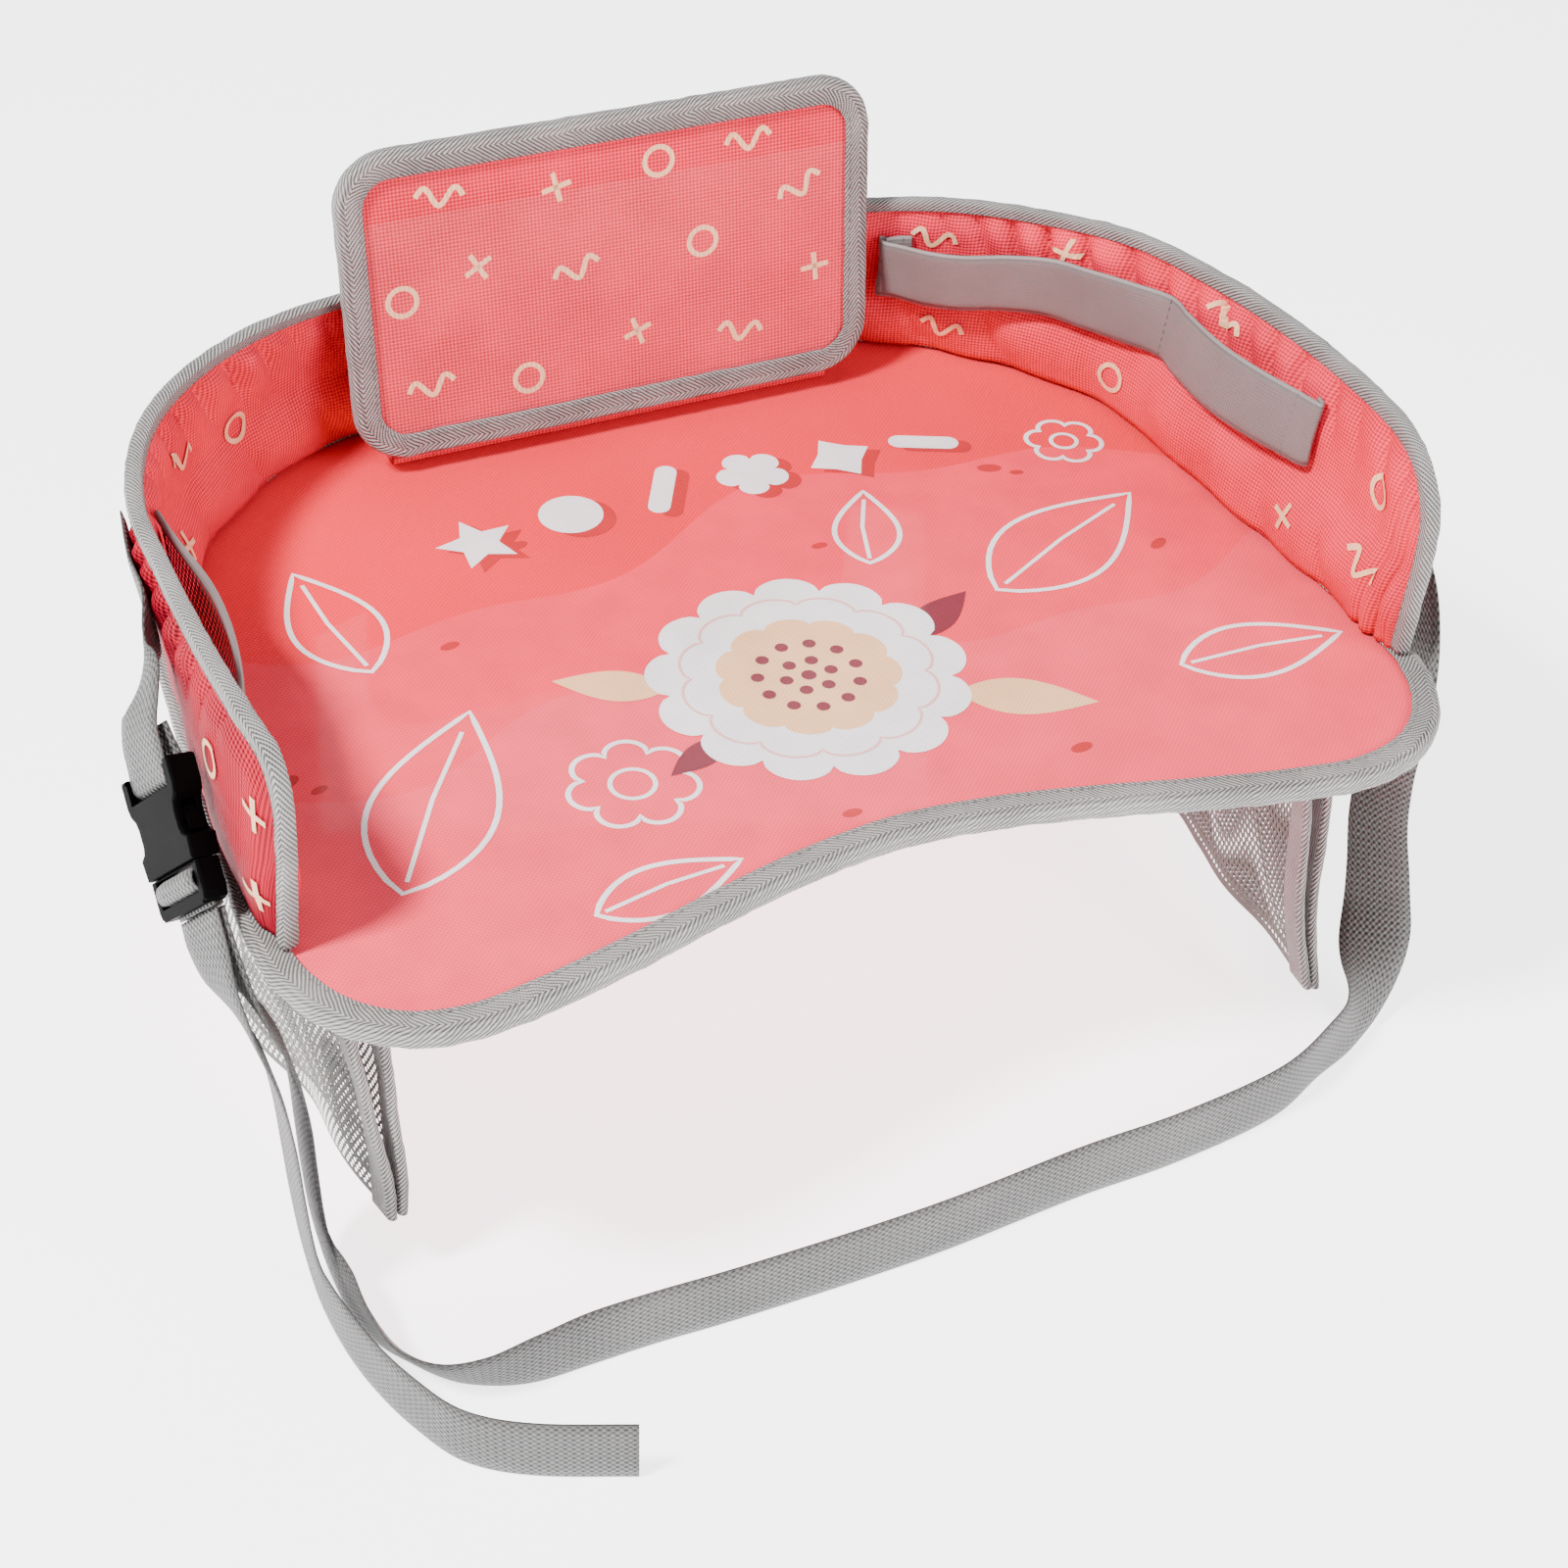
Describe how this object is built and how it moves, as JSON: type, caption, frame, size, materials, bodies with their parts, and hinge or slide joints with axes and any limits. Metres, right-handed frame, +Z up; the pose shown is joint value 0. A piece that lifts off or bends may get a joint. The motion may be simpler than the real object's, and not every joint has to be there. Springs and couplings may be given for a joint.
{
  "type": "kids travel tray",
  "caption": "Padded lap tray for a child's car seat: curved floor with a soft wall, fold-down tablet panel with clear window, mesh pockets, pen elastic and a buckled waist strap",
  "frame": {"origin": "middle of the underside of the floor, on the face that rests on the lap", "axes": "+Z up through the floor. +Y away from the child, towards the tablet panel. +X to the right-hand side of a child who sits at -Y and looks to +Y, which is the side of the pen elastic; the buckle is at -X"},
  "size_m": [0.4317, 0.3827, 0.2667],
  "materials": {
    "coral_fabric": "woven coral polyester, scattered cream doodles",
    "printed_fabric": "coral cloth with a cream, rose and grey print",
    "clear_film": "clear soft PVC film, glossy",
    "grey_tape": "grey herringbone binding tape",
    "grey_webbing": "grey ribbed polyester webbing",
    "grey_elastic": "grey woven elastic",
    "grey_net": "grey knitted mesh",
    "board": "stiff white board",
    "foam": "soft white foam sheet",
    "black_plastic": "moulded black plastic, fine satin grain"
  },
  "bodies": {
    "tray": {"base_bottom_fabric": "coral_fabric", "base_board": "board", "base_top_fabric": "printed_fabric", "base_clear_film": "clear_film", "base_edge_binding": "grey_tape", "wall_inner_fabric": "coral_fabric", "wall_foam_core": "foam", "wall_outer_fabric": "coral_fabric", "wall_top_binding": "grey_tape", "tablet_hinge_flap": "coral_fabric", "pen_elastic": "grey_elastic", "inner_pocket_mesh": "grey_net", "inner_pocket_elastic": "grey_elastic", "right_pocket_outer_mesh": "grey_net", "right_pocket_outer_binding": "grey_tape", "right_pocket_inner_mesh": "grey_net", "right_pocket_inner_binding": "grey_tape", "left_pocket_outer_mesh": "grey_net", "left_pocket_outer_binding": "grey_tape", "left_pocket_inner_mesh": "grey_net", "left_pocket_inner_binding": "grey_tape", "left_anchor_webbing": "grey_webbing", "right_anchor_webbing": "grey_webbing", "buckle_socket": "black_plastic"},
    "tablet_panel": {"tablet_back_fabric": "coral_fabric", "tablet_stiffener": "board", "tablet_front_fabric": "coral_fabric", "tablet_clear_window": "clear_film", "tablet_binding": "grey_tape"},
    "strap_and_plug": {"buckle_plug": "black_plastic", "strap_plug_loop": "grey_webbing", "strap_loop": "grey_webbing", "strap_tail": "grey_webbing"},
    "prong_upper": {"buckle_prong_upper": "black_plastic"},
    "prong_lower": {"buckle_prong_lower": "black_plastic"}
  },
  "joints": [
    {"name": "tablet_fold", "type": "hinge", "parent": "tray", "child": "tablet_panel", "pos_m": [0, 0.1165, 0.00915], "axis": [1, 0, 0], "range_deg": [0, 93]},
    {"name": "buckle_release", "type": "slide", "parent": "tray", "child": "strap_and_plug", "axis": [0, -0.7547, -0.6561], "range_m": [0, 0.035], "deforming": ["buckle_prong_upper", "buckle_prong_lower"]},
    {"name": "prong_upper_squeeze", "type": "hinge", "parent": "strap_and_plug", "child": "prong_upper", "pos_m": [-0.20714, -0.07693, 0.02391], "axis": [-0.9455, -0.2136, 0.2457], "range_deg": [0, 12], "stiffness_Nm_per_rad": 0.02},
    {"name": "prong_lower_squeeze", "type": "hinge", "parent": "strap_and_plug", "child": "prong_lower", "pos_m": [-0.21397, -0.0639, 0.00892], "axis": [0.9455, 0.2136, -0.2457], "range_deg": [0, 12], "stiffness_Nm_per_rad": 0.02}
  ]
}
